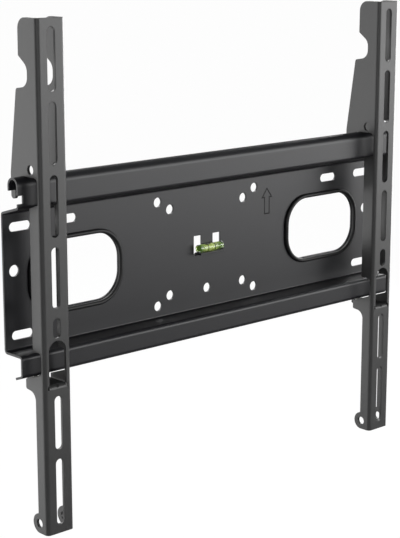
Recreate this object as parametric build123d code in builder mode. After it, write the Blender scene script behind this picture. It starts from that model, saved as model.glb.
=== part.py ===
from build123d import *
import os

# Fixed tv wall bracket, millimetres. X right, Y into the wall, Z up.
# Y = 0 is the wall face, the origin is the centre of the four end slots.

# Wall plate: one steel sheet with the same folded section along its length
plate_length = 455.0
sheet = 2.0
inside_bend = 1.5
outside_bend = inside_bend + sheet
rim_standoff = 2.0
panel_back = -rim_standoff
panel_front = panel_back - sheet
rail_back = panel_back - 22.5
rail_front = rail_back - sheet
lower_lip_reach = 8.0
lower_lip_end = -77.8
lower_rail_bottom = -75.0
lower_ledge = -60.0
upper_ledge_back = 59.5
upper_ledge_front = 66.0
arch_radius = 5.0
arch_centre = 83.0
arch_lip_end = 78.7
rail_top = arch_centre + arch_radius + sheet

# Holes of the wall plate
wall_slot_length = 22.0
wall_slot_width = 8.0
end_slot_spacing = (420.0, 92.0)
upper_slot_spacing = 324.0
upper_slot_height = 46.0
end_hole_spacing = 434.0
end_hole_height = 9.2
end_hole_diameter = 10.0
hole_diameter = 9.0
outer_pattern = (120.0, 95.0)
inner_pattern = (91.0, 79.0)
lower_hole_height = -39.5
rail_notch_depth = 5.1
rail_notch_height = 7.0
rail_notch_centre = 72.3

# Cable openings, with their edge rolled back to the wall
cable_width = 104.0
cable_height = 67.0
cable_corner = 28.0
cable_centre = (152.3, -0.6)
roll_radius = sheet + rim_standoff

# Spirit level: window, tongue, shelf and vial
window_width = 33.2
window_top = 11.0
tongue_width = 13.6
tongue_end = 3.1
shelf_top = -4.0
shelf_width = 30.0
shelf_depth = 7.75
vial_diameter = 7.0
vial_length = 29.2
vial_bore = 5.0
vial_end = 2.0
vial_centre_y = panel_front - vial_diameter / 2
vial_centre_z = shelf_top + vial_diameter / 2
bubble_length = 7.0
bubble_depth = 2.6
bubble_centre = -3.0

# Arms: two equal channels that hang on the upper rail
arm_centre = 203.0
arm_width = 28.0
arm_sheet = 2.5
arm_inside_bend = 1.0
arm_outside_bend = arm_inside_bend + arm_sheet
arm_top = 216.8
arm_bottom = -213.2
web_front = -42.0
tv_slot_width = 8.0
tv_slots = [(184.3, 51.0), (125.3, 51.0), (66.3, 51.0), (7.3, 51.0)]
lower_slots = [(-35.0, 17.0), (-116.0, 46.4), (-176.5, 58.0)]
flange_hole_diameter = 8.0
upper_hole = (12.5, 96.0)
lug_centre = (11.3, -204.6)
lug_radius = 8.6

# Arm window and the tab folded back out of it
arm_window_width = 17.6
arm_window_top = -45.4
tab_top = -83.0
tab_reach = 37.0
tab_notch = 1.5
gusset_width = 2.2

# Locking screw through the tab, behind the lip of the lower rail
screw_diameter = 5.0
screw_hole_diameter = 5.2
screw_length = 19.5
screw_head_diameter = 9.5
screw_head_height = 3.6
screw_depth = 31.0

os.makedirs("parts", exist_ok=True)
sides = {"left": -1, "right": 1}

# Wall plate
with BuildPart() as wall_plate:
    # Folded section, drawn along the side of the sheet that faces the wall
    with BuildSketch(Plane.YZ) as section:
        with BuildLine() as section_line:
            folds = FilletPolyline(
                (rail_back + lower_lip_reach, lower_lip_end),
                (rail_back, lower_rail_bottom),
                (rail_back, lower_ledge),
                (panel_back, lower_ledge),
                (panel_back, upper_ledge_back),
                (rail_back, upper_ledge_front),
                (rail_back, arch_centre),
                radius=[inside_bend, inside_bend, outside_bend, outside_bend, inside_bend],
            )
            arch = ThreePointArc(
                folds @ 1,
                (rail_back + arch_radius, arch_centre + arch_radius),
                (rail_back + 2 * arch_radius, arch_centre),
            )
            Line(arch @ 1, (rail_back + 2 * arch_radius, arch_lip_end))
            offset(amount=sheet, side=Side.LEFT)
        make_face()
    extrude(amount=plate_length / 2, both=True)

    # Slots for the wall screws and the round holes
    with BuildSketch(Plane.XZ):
        with GridLocations(*end_slot_spacing, 2, 2):
            SlotOverall(wall_slot_length, wall_slot_width)
        with Locations((0, upper_slot_height)):
            with GridLocations(upper_slot_spacing, 0, 2, 1):
                SlotOverall(wall_slot_length, wall_slot_width)
        with Locations((0, end_hole_height)):
            with GridLocations(end_hole_spacing, 0, 2, 1):
                Circle(end_hole_diameter / 2)
        for pattern in (outer_pattern, inner_pattern):
            with GridLocations(*pattern, 2, 2):
                Circle(hole_diameter / 2)
        with Locations((0, lower_hole_height)):
            Circle(hole_diameter / 2)
    extrude(amount=-panel_front + 1, mode=Mode.SUBTRACT)

    # Cable openings: the panel is cut at the start of the roll, then the roll is
    # added as four straight runs and four turned corners
    run_x = cable_width / 2 - cable_corner
    run_z = cable_height / 2 - cable_corner
    directions = [Vector(1, 0, 0), Vector(0, 0, 1), Vector(-1, 0, 0), Vector(0, 0, -1)]
    for side in sides.values():
        opening_centre = (side * cable_centre[0], cable_centre[1])
        with BuildSketch(Plane.XZ):
            with Locations(opening_centre):
                RectangleRounded(cable_width, cable_height, cable_corner)
        extrude(amount=-panel_front + 1, mode=Mode.SUBTRACT)
        for turn in range(4):
            half_size = (cable_width, cable_height)[turn % 2] / 2
            run = (run_z, run_x)[turn % 2]
            outward = directions[turn]
            along = directions[(turn + 1) % 4]
            middle = Vector(opening_centre[0], 0, opening_centre[1]) + outward * half_size
            roll_plane = Plane(origin=middle, x_dir=outward, z_dir=along)
            with BuildSketch(roll_plane.offset(-run)) as straight_roll:
                Circle(roll_radius)
                Rectangle(roll_radius, roll_radius, align=Align.MAX, mode=Mode.INTERSECT)
                Rectangle(rim_standoff, rim_standoff, align=Align.MAX, mode=Mode.SUBTRACT)
            extrude(amount=2 * run)
            with BuildSketch(roll_plane.offset(run)) as corner_roll:
                add(straight_roll.sketch_local)
            corner_centre = middle - outward * cable_corner + along * run
            revolve(axis=Axis(corner_centre, (0, 1, 0)), revolution_arc=-90)

    # Notch in the front of the upper rail at both ends
    with BuildSketch(Plane.XZ.offset(-rail_back - 1)):
        with Locations((0, rail_notch_centre)):
            with GridLocations(plate_length, 0, 2, 1):
                Rectangle(2 * rail_notch_depth, rail_notch_height)
    extrude(amount=sheet + 2, mode=Mode.SUBTRACT)

    # Window of the spirit level, with the tongue left at its top
    bend_start = shelf_top - outside_bend
    with BuildSketch(Plane.XZ):
        with Locations((0, (window_top + bend_start) / 2)):
            Rectangle(window_width, window_top - bend_start)
        with Locations((0, window_top)):
            Rectangle(tongue_width, 2 * (window_top - tongue_end), mode=Mode.SUBTRACT)
    extrude(amount=-panel_front + 1, mode=Mode.SUBTRACT)

    # Shelf folded forward under the vial
    with BuildSketch(Plane.YZ):
        with BuildLine():
            FilletPolyline(
                (panel_back, bend_start - sheet),
                (panel_back, shelf_top),
                (panel_front - shelf_depth, shelf_top),
                radius=outside_bend,
            )
            offset(amount=sheet, side=Side.LEFT)
        make_face()
    extrude(amount=shelf_width / 2, both=True)

wall_plate.part.label = "wall_plate"
export_step(wall_plate.part, "parts/wall_plate.step")

# Vial of the spirit level: clear body, end plug and liquid with its bubble
vial_plane = Plane(origin=(0, vial_centre_y, vial_centre_z), x_dir=(0, 1, 0), z_dir=(1, 0, 0))
with BuildPart() as level_vial:
    with BuildSketch(vial_plane):
        Circle(vial_diameter / 2)
    extrude(amount=vial_length / 2, both=True)
    with BuildSketch(vial_plane.offset(vial_end - vial_length / 2)):
        Circle(vial_bore / 2)
    extrude(amount=vial_length, mode=Mode.SUBTRACT)
level_vial.part.label = "level_vial"
export_step(level_vial.part, "parts/level_vial.step")

with BuildPart() as level_plug:
    with BuildSketch(vial_plane.offset(vial_length / 2 - vial_end)):
        Circle(vial_bore / 2)
    extrude(amount=vial_end)
level_plug.part.label = "level_plug"
export_step(level_plug.part, "parts/level_plug.step")

with BuildPart() as level_liquid:
    with BuildSketch(vial_plane):
        Circle(vial_bore / 2)
    extrude(amount=vial_length / 2 - vial_end, both=True)
    bubble_z = vial_centre_z + vial_bore / 2
    with BuildSketch(Plane.XZ.offset(-vial_centre_y)) as bubble:
        with Locations((bubble_centre, bubble_z)):
            Rectangle(bubble_length, bubble_depth / 2, align=(Align.CENTER, Align.MAX))
    bubble_axis = Axis((bubble_centre, vial_centre_y, bubble_z), (1, 0, 0))
    revolve(axis=bubble_axis, mode=Mode.SUBTRACT)
level_liquid.part.label = "level_liquid"
export_step(level_liquid.part, "parts/level_liquid.step")

# Side outline of an arm: depth behind the web face, height, corner radius.
# Each group goes down the back edge of the flanges.
top_corners = [(0, arm_top, 0), (25.0, arm_top, 9.0)]
handle_corners = [(25.2, 186.8, 0.6), (13.8, 178.5, 9.0), (13.8, 162.8, 8.5), (29.3, 160.4, 2.5)]
hook_corners = [(39.2, 91.5, 20.0), (39.2, 70.0, 3.0), (33.1, 70.0, 3.0), (33.1, rail_top, 10.0)]
pocket_corners = [(3.5, rail_top, 4.5), (3.5, 68.5, 1.5), (15.0, 64.7, 1.0)]
waist_corners = [(15.0, -55.0, 2.0), (3.8, -55.0, 3.0), (3.8, -72.9, 4.0)]
knee_corners = [(25.5, -80.5, 1.0), (25.5, -88.8, 1.5)]
foot_corners = [(12.5, -90.4, 8.0), (12.5, -212.0, 0.5), (0, -212.0, 0)]
corners = (
    top_corners
    + handle_corners
    + hook_corners
    + pocket_corners
    + waist_corners
    + knee_corners
    + foot_corners
)
tab_bottom = tab_top - arm_sheet
tab_end_centre = tab_reach - arm_window_width / 2

for side_name, side in sides.items():
    centre = side * arm_centre
    side_plane = Plane(origin=(centre, web_front, 0), x_dir=(0, 1, 0), z_dir=(1, 0, 0))
    web_plane = Plane.XZ.offset(-web_front - arm_sheet - 1)

    with BuildPart() as arm:
        # Channel over the whole height
        with BuildSketch(Plane.XY.offset(arm_bottom)):
            with BuildLine():
                FilletPolyline(
                    (centre - arm_width / 2, 0),
                    (centre - arm_width / 2, web_front),
                    (centre + arm_width / 2, web_front),
                    (centre + arm_width / 2, 0),
                    radius=arm_outside_bend,
                )
                offset(amount=arm_sheet, side=Side.LEFT)
            make_face()
        extrude(amount=arm_top - arm_bottom)

        # Side outline of both flanges, with the lug at the foot
        with BuildSketch(side_plane):
            with BuildLine():
                outline = FilletPolyline(
                    [(depth, height) for depth, height, radius in corners],
                    radius=[radius for depth, height, radius in corners[1:-1]],
                )
                Line(outline @ 1, outline @ 0)
            make_face()
            with Locations(lug_centre):
                Circle(lug_radius)
            with Locations((0, arm_bottom)):
                Rectangle(lug_centre[0], 2.0, align=(Align.MIN, Align.MIN))
        extrude(amount=arm_width, both=True, mode=Mode.INTERSECT)

        # Holes across both flanges
        with BuildSketch(side_plane):
            with Locations(upper_hole, lug_centre):
                Circle(flange_hole_diameter / 2)
        extrude(amount=arm_width, both=True, mode=Mode.SUBTRACT)

        # Slots in the web, then the window with relief notches beside the tab
        tab_bend_start = tab_top - arm_outside_bend
        arch_height = arm_window_top - arm_window_width / 2
        with BuildSketch(web_plane):
            for height, length in tv_slots + lower_slots:
                with Locations((centre, height)):
                    SlotOverall(length, tv_slot_width, rotation=90)
            with Locations((centre, arch_height)):
                Circle(arm_window_width / 2)
            with Locations((centre, tab_bend_start)):
                window_height = arch_height - tab_bend_start
                Rectangle(arm_window_width, window_height, align=(Align.CENTER, Align.MIN))
                notch_width = arm_window_width + 2 * tab_notch
                Rectangle(notch_width, arm_outside_bend, align=(Align.CENTER, Align.MIN))
        extrude(amount=arm_sheet + 2, mode=Mode.SUBTRACT)

        # Tab folded back from the lower edge of the window
        with BuildSketch(side_plane):
            with BuildLine():
                FilletPolyline(
                    (0, tab_bend_start - arm_sheet),
                    (0, tab_top),
                    (tab_end_centre, tab_top),
                    radius=arm_outside_bend,
                )
                offset(amount=arm_sheet, side=Side.RIGHT)
            make_face()
        extrude(amount=arm_window_width / 2, both=True)
        with BuildSketch(Plane.XY.offset(tab_bottom)):
            with Locations((centre, web_front + tab_end_centre)):
                Circle(arm_window_width / 2)
        extrude(amount=arm_sheet)

        # Stiffening gusset pressed into the middle of the tab's bend
        with BuildSketch(side_plane):
            with BuildLine():
                Polyline(
                    (arm_sheet, tab_bottom),
                    (arm_sheet, tab_bottom - 3.5),
                    (arm_sheet + 3.5, tab_bottom),
                    close=True,
                )
            make_face()
        extrude(amount=gusset_width / 2, both=True)
        with BuildSketch(side_plane):
            with BuildLine():
                Polyline(
                    (-1.0, tab_top - 3.2),
                    (4.6, tab_top + 1.0),
                    (-1.0, tab_top + 1.0),
                    close=True,
                )
            make_face()
        extrude(amount=gusset_width / 2, both=True, mode=Mode.SUBTRACT)

        # Threaded hole of the locking screw
        with BuildSketch(Plane.XY.offset(tab_bottom - 1)):
            with Locations((centre, web_front + screw_depth)):
                Circle(screw_hole_diameter / 2)
        extrude(amount=arm_sheet + 2, mode=Mode.SUBTRACT)

    arm.part.label = side_name + "_arm"
    export_step(arm.part, "parts/" + side_name + "_arm.step")

    # Locking screw with its head under the tab and a cross recess below
    screw_plane = Plane(origin=(centre, web_front + screw_depth, tab_bottom))
    with BuildPart() as screw:
        with BuildSketch(screw_plane):
            Circle(screw_head_diameter / 2)
        extrude(amount=-screw_head_height)
        chamfer(screw.edges().filter_by(GeomType.CIRCLE).group_by(Axis.Z)[0], 1.0)
        with BuildSketch(screw_plane):
            Circle(screw_diameter / 2)
        extrude(amount=screw_length)
        chamfer(screw.edges().filter_by(GeomType.CIRCLE).group_by(Axis.Z)[-1], 0.6)
        with BuildSketch(screw_plane.offset(-screw_head_height)):
            Rectangle(5.0, 1.2)
            Rectangle(1.2, 5.0)
        extrude(amount=1.6, mode=Mode.SUBTRACT)
    screw.part.label = side_name + "_locking_screw"
    export_step(screw.part, "parts/" + side_name + "_locking_screw.step")
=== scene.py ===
import math

import bmesh
import bpy
from mathutils import Matrix, Vector


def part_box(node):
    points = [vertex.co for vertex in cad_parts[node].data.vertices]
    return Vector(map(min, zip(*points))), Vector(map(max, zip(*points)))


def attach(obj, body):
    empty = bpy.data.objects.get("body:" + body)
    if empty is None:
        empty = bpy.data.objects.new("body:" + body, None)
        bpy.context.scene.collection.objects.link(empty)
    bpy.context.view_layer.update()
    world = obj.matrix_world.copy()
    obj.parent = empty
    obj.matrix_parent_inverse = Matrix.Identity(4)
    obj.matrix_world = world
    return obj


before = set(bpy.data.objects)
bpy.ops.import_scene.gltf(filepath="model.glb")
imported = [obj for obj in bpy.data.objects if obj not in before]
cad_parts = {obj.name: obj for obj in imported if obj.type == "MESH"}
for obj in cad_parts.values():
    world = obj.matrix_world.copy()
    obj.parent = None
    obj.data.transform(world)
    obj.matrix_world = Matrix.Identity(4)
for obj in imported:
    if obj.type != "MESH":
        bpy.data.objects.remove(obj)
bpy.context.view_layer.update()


# Camera. A product photographer's long lens, set a little above the bracket and to
# its left, so that the hooks, the rail and the inside of the arms all show.

MM = 0.001
camera_place = Vector((-930.2, -1007.2, 284.5)) * MM
camera_yaw = math.radians(42.56)
camera_pitch = math.radians(-12.63)
camera_focus_px = 1517.6
photo_width_px = 400
sensor_width_mm = 36.0
clip_near_m = 0.05
clip_far_m = 100.0


def facing(place, direction):
    """The matrix of something that stands at place and looks along direction, upright."""
    turn = direction.to_track_quat("-Z", "Y").to_matrix().to_4x4()
    return Matrix.Translation(place) @ turn


camera_data = bpy.data.cameras.new("camera")
camera_data.sensor_fit = "HORIZONTAL"
camera_data.sensor_width = sensor_width_mm
camera_data.lens = camera_focus_px * sensor_width_mm / photo_width_px
camera_data.clip_start = clip_near_m
camera_data.clip_end = clip_far_m
camera = bpy.data.objects.new("camera", camera_data)
bpy.context.scene.collection.objects.link(camera)
look = Vector(
    (
        math.sin(camera_yaw) * math.cos(camera_pitch),
        math.cos(camera_yaw) * math.cos(camera_pitch),
        math.sin(camera_pitch),
    )
)
camera.matrix_world = facing(camera_place, look)
bpy.context.scene.camera = camera
bpy.context.scene.view_settings.view_transform = "Standard"


# Studio. White paper lies 600 mm under the bracket and runs far out behind it, under
# an even white air. Five large soft boxes light it: front right, at the camera's side,
# behind left, above behind, and right.

def linear(hex_colour):
    """sRGB hex to linear, with alpha 1."""
    parts = [int(hex_colour[i:i + 2], 16) / 255 for i in (1, 3, 5)]
    return tuple(
        c / 12.92 if c <= 0.04045 else ((c + 0.055) / 1.055) ** 2.4 for c in parts
    ) + (1.0,)


def add_node(tree, kind, settings=None, values=None, links=None):
    """Adds a node, sets its settings and sockets, and links sockets from other nodes."""
    node = tree.nodes.new(kind)
    for key, value in (settings or {}).items():
        setattr(node, key, value)
    for key, value in (values or {}).items():
        node.inputs[key].default_value = value
    for key, source in (links or {}).items():
        tree.links.new(source, node.inputs[key])
    return node


def new_material(name):
    material = bpy.data.materials.new(name)
    material.use_nodes = True
    material.node_tree.nodes.clear()
    return material, material.node_tree


def finish_material(tree, shader):
    add_node(tree, "ShaderNodeOutputMaterial", links={"Surface": shader})


def add_mesh(name, build, smooth=False):
    mesh = bpy.data.meshes.new(name)
    work = bmesh.new()
    build(work)
    work.to_mesh(mesh)
    work.free()
    for face in mesh.polygons:
        face.use_smooth = smooth
    piece = bpy.data.objects.new(name, mesh)
    bpy.context.scene.collection.objects.link(piece)
    return piece


paper_drop_mm = 600.0
paper_half_mm = 30000.0
paper_dark = "#f0f0ef"
paper_light = "#f4f4f3"
paper_grain_scale = 900.0       # noise cells across the whole sheet
paper_roughness = 0.9
paper_specular = 0.2
paper_white_share = 0.98        # the rest takes the bracket's shadow
paper_gloss_strength = 0.15     # how bright the paper is in the coat's reflections
pure_white = (1, 1, 1, 1)

# Uncoated matt paper: an even white without a highlight.
paper, paper_tree = new_material("white_studio_paper")
rays = add_node(paper_tree, "ShaderNodeLightPath")
paper_grain = add_node(
    paper_tree,
    "ShaderNodeTexNoise",
    values={"Scale": paper_grain_scale, "Detail": 3.0},
)
paper_tone = add_node(
    paper_tree,
    "ShaderNodeValToRGB",
    links={"Fac": paper_grain.outputs["Fac"]},
)
paper_tone.color_ramp.elements[0].color = linear(paper_dark)
paper_tone.color_ramp.elements[1].color = linear(paper_light)
paper_matt = add_node(
    paper_tree,
    "ShaderNodeBsdfPrincipled",
    values={"Roughness": paper_roughness, "Specular IOR Level": paper_specular},
    links={"Base Color": paper_tone.outputs["Color"]},
)
paper_straight = add_node(
    paper_tree,
    "ShaderNodeMath",
    {"operation": "MAXIMUM"},
    links={0: rays.outputs["Is Camera Ray"], 1: rays.outputs["Is Transmission Ray"]},
)
paper_strength = add_node(
    paper_tree,
    "ShaderNodeMath",
    {"operation": "MULTIPLY_ADD"},
    values={1: 1 - paper_gloss_strength, 2: paper_gloss_strength},
    links={0: paper_straight.outputs["Value"]},
)
paper_white = add_node(
    paper_tree,
    "ShaderNodeEmission",
    values={"Color": pure_white},
    links={"Strength": paper_strength.outputs["Value"]},
)
paper_part = add_node(
    paper_tree,
    "ShaderNodeMath",
    {"operation": "MULTIPLY"},
    values={1: paper_white_share},
    links={0: paper_straight.outputs["Value"]},
)
paper_share = add_node(
    paper_tree,
    "ShaderNodeMath",
    {"operation": "MAXIMUM"},
    links={0: paper_part.outputs["Value"], 1: rays.outputs["Is Glossy Ray"]},
)
paper_mix = add_node(
    paper_tree,
    "ShaderNodeMixShader",
    links={
        0: paper_share.outputs["Value"],
        1: paper_matt.outputs[0],
        2: paper_white.outputs[0],
    },
)
finish_material(paper_tree, paper_mix.outputs[0])


def build_paper(work):
    corners = ((-1, -1), (1, -1), (1, 1), (-1, 1))
    height = -paper_drop_mm * MM
    ring = [
        work.verts.new((x * paper_half_mm * MM, y * paper_half_mm * MM, height))
        for x, y in corners
    ]
    work.faces.new(ring)


floor = add_mesh("studio_floor", build_paper)
floor.data.materials.append(paper)

air_colour = "#e4e6e8"
air_low_z = -0.5                # under this direction the air has its full strength
air_high_z = 0.1                # and over this one its upper share
air_upper_share = 0.5
air_fill_strength = 0.45        # on matt surfaces
air_sheen_strength = 0.3        # in reflections

world = bpy.data.worlds.new("studio_air")
bpy.context.scene.world = world
world.use_nodes = True
air = world.node_tree
air.nodes.clear()
air_rays = add_node(air, "ShaderNodeLightPath")
air_place = add_node(air, "ShaderNodeTexCoord")
air_split = add_node(
    air,
    "ShaderNodeSeparateXYZ",
    links={0: air_place.outputs["Generated"]},
)
air_low = add_node(
    air,
    "ShaderNodeMapRange",
    {"interpolation_type": "SMOOTHSTEP"},
    values={
        "From Min": air_low_z,
        "From Max": air_high_z,
        "To Min": 1.0,
        "To Max": air_upper_share,
    },
    links={"Value": air_split.outputs["Z"]},
)
air_strength = add_node(
    air,
    "ShaderNodeMath",
    {"operation": "MULTIPLY"},
    values={1: air_fill_strength},
    links={0: air_low.outputs["Result"]},
)
air_gloss_strength = add_node(
    air,
    "ShaderNodeMath",
    {"operation": "MULTIPLY"},
    values={1: air_sheen_strength},
    links={0: air_low.outputs["Result"]},
)
air_fill = add_node(
    air,
    "ShaderNodeBackground",
    values={"Color": linear(air_colour)},
    links={"Strength": air_strength.outputs["Value"]},
)
air_gloss = add_node(
    air,
    "ShaderNodeBackground",
    values={"Color": pure_white},
    links={"Strength": air_gloss_strength.outputs["Value"]},
)
air_white = add_node(
    air,
    "ShaderNodeBackground",
    values={"Color": pure_white, "Strength": 1.0},
)
air_seen = add_node(
    air,
    "ShaderNodeMath",
    {"operation": "MAXIMUM"},
    links={
        0: air_rays.outputs["Is Camera Ray"],
        1: air_rays.outputs["Is Transmission Ray"],
    },
)
air_lit = add_node(
    air,
    "ShaderNodeMixShader",
    links={
        0: air_rays.outputs["Is Glossy Ray"],
        1: air_fill.outputs[0],
        2: air_gloss.outputs[0],
    },
)
air_mix = add_node(
    air,
    "ShaderNodeMixShader",
    links={0: air_seen.outputs["Value"], 1: air_lit.outputs[0], 2: air_white.outputs[0]},
)
add_node(air, "ShaderNodeOutputWorld", links={"Surface": air_mix.outputs[0]})


def add_soft_box(name, place_mm, width_mm, height_mm, watts):
    """A rectangular light that faces the origin and that the camera doesn't see."""
    data = bpy.data.lights.new(name, "AREA")
    data.shape = "RECTANGLE"
    data.size = width_mm * MM
    data.size_y = height_mm * MM
    data.energy = watts
    box = bpy.data.objects.new(name, data)
    place = Vector(place_mm) * MM
    box.matrix_world = facing(place, -place)
    box.visible_camera = False
    bpy.context.scene.collection.objects.link(box)


add_soft_box("front_soft_box", (1500, -1600, 185), width_mm=2300, height_mm=1030, watts=31.5)
add_soft_box("back_left_soft_box", (-620, 680, -10), width_mm=1200, height_mm=1160, watts=7.7)
add_soft_box("camera_side_soft_box", (-1500, -1630, 500), width_mm=1200, height_mm=1300, watts=8)
add_soft_box("back_top_soft_box", (300, 1600, 1700), width_mm=1600, height_mm=1200, watts=42)
add_soft_box("right_soft_box", (2200, 600, 300), width_mm=1400, height_mm=1600, watts=55)


# Wall plate. One 2 mm steel sheet, cut out and folded into the hooking rail and the
# lower rail, then powder coated black. The baked powder leaves a satin skin with a
# fine orange peel, and it rounds every cut edge a little.

coat_mottle_mm = 28
coat_speck_mm = 1.1
coat_speck_share = 0.45
coat_tone_low = 0.3
coat_tone_high = 0.7
coat_peel_mm = 0.9              # about one pixel in the render, so it only breaks the gloss
coat_peel_depth_mm = 0.05
coat_peel_strength = 0.12
coat_edge_mm = 0.55
coat_edge_samples = 6
coat_sheen_spread = 0.01        # more than this makes the black look dirty
coat_ior = 1.5


def powder_coat(name, dark, light, roughness, specular=0.5):
    """Baked polyester powder: a satin black with soft highlights along its edges."""
    material, tree = new_material(name)
    place = add_node(tree, "ShaderNodeTexCoord")
    mottle = add_node(
        tree,
        "ShaderNodeTexNoise",
        values={"Scale": 1 / (coat_mottle_mm * MM), "Detail": 4.0, "Roughness": 0.6},
        links={"Vector": place.outputs["Object"]},
    )
    speck = add_node(
        tree,
        "ShaderNodeTexNoise",
        values={"Scale": 1 / (coat_speck_mm * MM), "Detail": 2.0, "Roughness": 0.7},
        links={"Vector": place.outputs["Object"]},
    )
    both = add_node(
        tree,
        "ShaderNodeMix",
        {"data_type": "FLOAT"},
        values={0: coat_speck_share},
        links={2: mottle.outputs["Fac"], 3: speck.outputs["Fac"]},
    )
    tone = add_node(tree, "ShaderNodeValToRGB", links={"Fac": both.outputs[0]})
    tone.color_ramp.elements[0].position = coat_tone_low
    tone.color_ramp.elements[0].color = linear(dark)
    tone.color_ramp.elements[1].position = coat_tone_high
    tone.color_ramp.elements[1].color = linear(light)
    peel = add_node(
        tree,
        "ShaderNodeTexNoise",
        values={"Scale": 1 / (coat_peel_mm * MM), "Detail": 2.0, "Roughness": 0.5},
        links={"Vector": place.outputs["Object"]},
    )
    soft_edge = add_node(
        tree,
        "ShaderNodeBevel",
        {"samples": coat_edge_samples},
        values={"Radius": coat_edge_mm * MM},
    )
    bump = add_node(
        tree,
        "ShaderNodeBump",
        values={"Strength": coat_peel_strength, "Distance": coat_peel_depth_mm * MM},
        links={"Height": peel.outputs["Fac"], "Normal": soft_edge.outputs["Normal"]},
    )
    sheen = add_node(
        tree,
        "ShaderNodeMapRange",
        values={
            "From Min": coat_tone_low,
            "From Max": coat_tone_high,
            "To Min": roughness - coat_sheen_spread,
            "To Max": roughness + coat_sheen_spread,
        },
        links={"Value": mottle.outputs["Fac"]},
    )
    coat = add_node(
        tree,
        "ShaderNodeBsdfPrincipled",
        values={"IOR": coat_ior, "Specular IOR Level": specular},
        links={
            "Base Color": tone.outputs["Color"],
            "Roughness": sheen.outputs["Result"],
            "Normal": bump.outputs["Normal"],
        },
    )
    finish_material(tree, coat.outputs[0])
    return material


def dress(node, material):
    node_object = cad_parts[node]
    node_object.data.materials.clear()
    node_object.data.materials.append(material)


plate_coat = powder_coat(
    "black_powder_coat_plate",
    dark="#19191c",
    light="#1d1d21",
    roughness=0.38,
)
dress("wall_plate", plate_coat)


# Edge beads. The photo has a thick dark outline round each cable opening. It is read
# as a round bead on the rolled edge, which stands a little in front of the panel, and
# its coat is matt and nearly black. Its form is inferred.

bead_radius_mm = 2.0
bead_width_mm = 97.2
bead_height_mm = 63.6
bead_corner_mm = 26.0
bead_depth_mm = -4.9
bead_centres_mm = ((-152.3, -0.6), (152.3, -0.6))
bead_corner_steps = 14
bead_round_steps = 16


def circle(steps):
    """Cosine and sine at even steps round a circle."""
    angles = [2 * math.pi * step / steps for step in range(steps)]
    return [(math.cos(angle), math.sin(angle)) for angle in angles]


def skin(work, rings, closed=True):
    """Faces from each ring of points to the next, and back to the first if closed."""
    for a, b in zip(rings, rings[1:] + (rings[:1] if closed else [])):
        for i in range(len(a)):
            j = (i + 1) % len(a)
            work.faces.new((a[i], a[j], b[j], b[i]))


def build_beads(work):
    """A round section carried along a rectangle with round corners, per opening."""
    reach_x = bead_width_mm / 2 - bead_corner_mm
    reach_z = bead_height_mm / 2 - bead_corner_mm
    for centre_x, centre_z in bead_centres_mm:
        sections = []
        for corner, (side_x, side_z) in enumerate(((1, 1), (-1, 1), (-1, -1), (1, -1))):
            for step in range(bead_corner_steps + 1):
                turn = math.pi / 2 * (corner + step / bead_corner_steps)
                out_x, out_z = math.cos(turn), math.sin(turn)
                path_x = centre_x + side_x * reach_x + bead_corner_mm * out_x
                path_z = centre_z + side_z * reach_z + bead_corner_mm * out_z
                section = []
                for cosine, sine in circle(bead_round_steps):
                    out = bead_radius_mm * cosine
                    point_mm = (
                        path_x + out * out_x,
                        bead_depth_mm + bead_radius_mm * sine,
                        path_z + out * out_z,
                    )
                    section.append(work.verts.new([c * MM for c in point_mm]))
                sections.append(section)
        skin(work, sections)
    bmesh.ops.recalc_face_normals(work, faces=work.faces)


bead_coat = powder_coat(
    "black_powder_coat_bead",
    dark="#0b0b0c",
    light="#101011",
    roughness=0.5,
)
beads = add_mesh("edge_beads", build_beads, smooth=True)
beads.data.materials.append(bead_coat)
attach(beads, "root")


# Up arrow. A thin dark outline on the front of the panel, right of the level, that
# shows which way is up. The real one may be stamped or printed. Here it is a band
# that stands 0.04 mm proud, with a duller and darker coat than the panel. The dark
# coat is painted shade for the hollow of the stamped groove that the band stands in for.

arrow_x_mm = 77.2
arrow_apex_mm = 44.5
arrow_head_mm = 36.2
arrow_foot_mm = 20.5
arrow_head_half_mm = 6.3
arrow_shaft_half_mm = 3.1
arrow_line_mm = 1.1
arrow_lift_mm = 0.04
arrow_sharpest_mitre = 0.35     # keeps the corner at the apex from running out too far
panel_front_mm = -4.0

arrow_outline = [
    (0, arrow_apex_mm),
    (arrow_head_half_mm, arrow_head_mm),
    (arrow_shaft_half_mm, arrow_head_mm),
    (arrow_shaft_half_mm, arrow_foot_mm),
    (-arrow_shaft_half_mm, arrow_foot_mm),
    (-arrow_shaft_half_mm, arrow_head_mm),
    (-arrow_head_half_mm, arrow_head_mm),
]


def build_arrow(work):
    """A closed band of even width that follows the outline, with mitred corners."""
    points = [Vector(p) for p in arrow_outline]
    inner, outer = [], []
    for i, point in enumerate(points):
        before = (point - points[i - 1]).normalized()
        after = (points[(i + 1) % len(points)] - point).normalized()
        normal = Vector((before.y + after.y, -before.x - after.x)).normalized()
        mitre = normal.dot(Vector((before.y, -before.x)))
        reach = arrow_line_mm / 2 / max(arrow_sharpest_mitre, mitre)
        outer.append(point + normal * reach)
        inner.append(point - normal * reach)
    rings = []
    for ring_points, lift in (
        (outer, 0.0),
        (outer, arrow_lift_mm),
        (inner, arrow_lift_mm),
        (inner, 0.0),
    ):
        y = (panel_front_mm - lift) * MM
        rings.append(
            [work.verts.new(((arrow_x_mm + p.x) * MM, y, p.y * MM)) for p in ring_points]
        )
    skin(work, rings)
    bmesh.ops.recalc_face_normals(work, faces=work.faces)


arrow_shade_coat = powder_coat(
    "painted_groove_shade",
    dark="#060607",
    light="#0b0b0c",
    roughness=0.8,
)
arrow = add_mesh("up_arrow", build_arrow)
arrow.data.materials.append(arrow_shade_coat)
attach(arrow, "root")


# Arms. Two equal 2.5 mm steel channels with slots for the tv screws, a hook over the
# rail, a knee under it and a lug at the foot. They have the same kind of powder coat,
# which is given here a lighter grey than the plate's, painted light that makes the arms
# show brighter, and a little more gloss.

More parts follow.
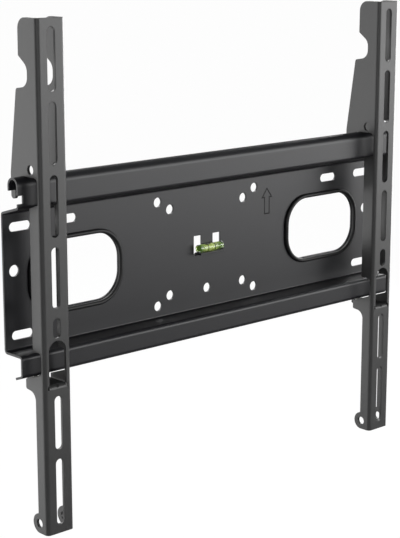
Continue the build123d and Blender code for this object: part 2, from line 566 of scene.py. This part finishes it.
arm_coat_painted_light = powder_coat(
    "black_powder_coat_arm_painted_light",
    dark="#333333",
    light="#383838",
    roughness=0.4,
    specular=0.62,
)
for node in ("left_arm", "right_arm"):
    dress(node, arm_coat_painted_light)


# Locking screws. Zinc plated steel screws that go up through the arms' tabs. Both the
# screws and their plating are inferred: the photo has only bright spots there.

zinc_blue = "#aeb4b8"
zinc_yellow = "#c9c6b8"
zinc_cast_mm = 4
zinc_smooth = 0.25
zinc_rough = 0.4
thread_pitch_mm = 0.8
thread_depth_mm = 0.2
thread_strength = 0.35
wave_radians = 20               # what the wave texture turns per metre at scale 1


def zinc_plate(name):
    """Bright passivated zinc: pale metal with a slightly blue and yellow cast."""
    material, tree = new_material(name)
    place = add_node(tree, "ShaderNodeTexCoord")
    cast = add_node(
        tree,
        "ShaderNodeTexNoise",
        values={"Scale": 1 / (zinc_cast_mm * MM), "Detail": 3.0},
        links={"Vector": place.outputs["Object"]},
    )
    tone = add_node(tree, "ShaderNodeValToRGB", links={"Fac": cast.outputs["Fac"]})
    tone.color_ramp.elements[0].color = linear(zinc_blue)
    tone.color_ramp.elements[1].color = linear(zinc_yellow)
    thread = add_node(
        tree,
        "ShaderNodeTexWave",
        {"wave_type": "BANDS", "bands_direction": "Z"},
        values={
            "Scale": 2 * math.pi / (thread_pitch_mm * MM) / wave_radians,
            "Distortion": 0.0,
        },
        links={"Vector": place.outputs["Object"]},
    )
    bump = add_node(
        tree,
        "ShaderNodeBump",
        values={"Strength": thread_strength, "Distance": thread_depth_mm * MM},
        links={"Height": thread.outputs["Fac"]},
    )
    rough = add_node(
        tree,
        "ShaderNodeMapRange",
        values={"To Min": zinc_smooth, "To Max": zinc_rough},
        links={"Value": cast.outputs["Fac"]},
    )
    metal = add_node(
        tree,
        "ShaderNodeBsdfPrincipled",
        values={"Metallic": 1.0},
        links={
            "Base Color": tone.outputs["Color"],
            "Roughness": rough.outputs["Result"],
            "Normal": bump.outputs["Normal"],
        },
    )
    finish_material(tree, metal.outputs[0])
    return material


screw_zinc = zinc_plate("zinc_plated_steel")
for node in ("left_locking_screw", "right_locking_screw"):
    dress(node, screw_zinc)


# Spirit level. A clear acrylic vial on the plate's shelf, filled with yellow green
# liquid and closed with a plug.

acrylic_ior = 1.49
acrylic_haze_mm = 2
acrylic_haze_spread = 0.06
liquid_bright = "#cdd97c"
# Painted shade: the liquid is darker towards the vial's ends.
liquid_end_shade = "#6b8b40"
liquid_bright_mm = 4            # from the middle, where the painted shade of the ends starts
liquid_end_shade_mm = 12
liquid_roughness = 0.1
liquid_clearness = 0.2
liquid_ior = 1.36
liquid_painted_glow = 0.25              # painted light: a glow of the liquid's own, making up for the lamp light that the clear vial keeps from it


def clear_acrylic(name, tint, roughness):
    """Cast acrylic: lets the liquid show through, under a faint haze."""
    material, tree = new_material(name)
    place = add_node(tree, "ShaderNodeTexCoord")
    haze = add_node(
        tree,
        "ShaderNodeTexNoise",
        values={"Scale": 1 / (acrylic_haze_mm * MM), "Detail": 2.0},
        links={"Vector": place.outputs["Object"]},
    )
    rough = add_node(
        tree,
        "ShaderNodeMapRange",
        values={"To Min": roughness, "To Max": roughness + acrylic_haze_spread},
        links={"Value": haze.outputs["Fac"]},
    )
    clear = add_node(
        tree,
        "ShaderNodeBsdfPrincipled",
        values={
            "Base Color": linear(tint),
            "Transmission Weight": 1.0,
            "IOR": acrylic_ior,
        },
        links={"Roughness": rough.outputs["Result"]},
    )
    finish_material(tree, clear.outputs[0])
    return material


def level_liquid(name):
    """Dyed spirit: bright yellow green in the middle, with painted shade that darkens it towards
    its ends.
    """
    material, tree = new_material(name)
    place = add_node(tree, "ShaderNodeTexCoord")
    split = add_node(tree, "ShaderNodeSeparateXYZ", links={0: place.outputs["Object"]})
    off = add_node(
        tree,
        "ShaderNodeMath",
        {"operation": "ABSOLUTE"},
        links={0: split.outputs["X"]},
    )
    # Painted shade, darker towards the vial's ends.
    end = add_node(
        tree,
        "ShaderNodeMapRange",
        values={"From Min": liquid_bright_mm * MM, "From Max": liquid_end_shade_mm * MM},
        links={"Value": off.outputs["Value"]},
    )
    tone = add_node(tree, "ShaderNodeValToRGB", links={"Fac": end.outputs["Result"]})
    tone.color_ramp.elements[0].color = linear(liquid_bright)
    tone.color_ramp.elements[1].color = linear(liquid_end_shade)
    dye = add_node(
        tree,
        "ShaderNodeBsdfPrincipled",
        values={
            "Roughness": liquid_roughness,
            "Transmission Weight": liquid_clearness,
            "IOR": liquid_ior,
            "Emission Strength": liquid_painted_glow,
        },
        links={"Base Color": tone.outputs["Color"], "Emission Color": tone.outputs["Color"]},
    )
    finish_material(tree, dye.outputs[0])
    return material


dress("level_vial", clear_acrylic("clear_acrylic", tint="#eef3f2", roughness=0.04))
dress("level_plug", clear_acrylic("smoky_acrylic", tint="#a9bd7c", roughness=0.2))
dress("level_liquid", level_liquid("green_level_liquid"))


# Level rings. Two black rings printed round the vial, which the bubble has to stand
# between.

vial_low, vial_high = (Vector(corner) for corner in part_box("level_vial"))
vial_centre = (vial_low + vial_high) / 2
vial_radius = (vial_high.z - vial_low.z) / 2
ring_half_mm = 0.45
ring_lift_mm = 0.03
ring_places_mm = (-4.2, 4.2)
ring_round_steps = 64
print_and_shade_dark = "#0d0d0e"
print_and_shade_light = "#1b1b1c"
print_and_shade_grain_mm = 0.4
print_and_shade_roughness = 0.5


def build_rings(work):
    for middle in ring_places_mm:
        rings = []
        for side, lift in ((-1, 0.0), (-1, 1.0), (1, 1.0), (1, 0.0)):
            radius = vial_radius + lift * ring_lift_mm * MM
            ring = []
            for cosine, sine in circle(ring_round_steps):
                point = (
                    (middle + side * ring_half_mm) * MM,
                    vial_centre.y + radius * cosine,
                    vial_centre.z + radius * sine,
                )
                ring.append(work.verts.new(point))
            rings.append(ring)
        skin(work, rings)
    bmesh.ops.recalc_face_normals(work, faces=work.faces)


def black_print_and_shade(name):
    """Matt black, a little uneven in density: screen ink for the print, and painted shadow for
    the tongue.
    """
    material, tree = new_material(name)
    place = add_node(tree, "ShaderNodeTexCoord")
    density = add_node(
        tree,
        "ShaderNodeTexNoise",
        values={"Scale": 1 / (print_and_shade_grain_mm * MM), "Detail": 2.0},
        links={"Vector": place.outputs["Object"]},
    )
    tone = add_node(tree, "ShaderNodeValToRGB", links={"Fac": density.outputs["Fac"]})
    tone.color_ramp.elements[0].color = linear(print_and_shade_dark)
    tone.color_ramp.elements[1].color = linear(print_and_shade_light)
    matt_black = add_node(
        tree,
        "ShaderNodeBsdfPrincipled",
        values={"Roughness": print_and_shade_roughness},
        links={"Base Color": tone.outputs["Color"]},
    )
    finish_material(tree, matt_black.outputs[0])
    return material


rings = add_mesh("level_rings", build_rings, smooth=True)
rings.data.materials.append(black_print_and_shade("black_print"))
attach(rings, "root")


# Tongue shadow. A dark rod under the tongue, along the top of the vial: painted shadow
# where the tongue shades the vial. It is inferred from the dark line there, and has the
# same matt black as the print.

tongue_half_mm = 6.8
tongue_shadow_radius_mm = 1.0
tongue_shadow_y_mm = -3.1
tongue_shadow_z_mm = 2.5
tongue_shadow_round_steps = 16


def build_tongue_shadow(work):
    ends = []
    for x in (-tongue_half_mm, tongue_half_mm):
        end = []
        for cosine, sine in circle(tongue_shadow_round_steps):
            point_mm = (
                x,
                tongue_shadow_y_mm + tongue_shadow_radius_mm * cosine,
                tongue_shadow_z_mm + tongue_shadow_radius_mm * sine,
            )
            end.append(work.verts.new([c * MM for c in point_mm]))
        work.faces.new(end)
        ends.append(end)
    skin(work, ends, closed=False)
    bmesh.ops.recalc_face_normals(work, faces=work.faces)


tongue_shadow = add_mesh("level_tongue_shadow", build_tongue_shadow)
tongue_shadow.data.materials.append(black_print_and_shade("painted_shadow_under_tongue"))
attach(tongue_shadow, "root")
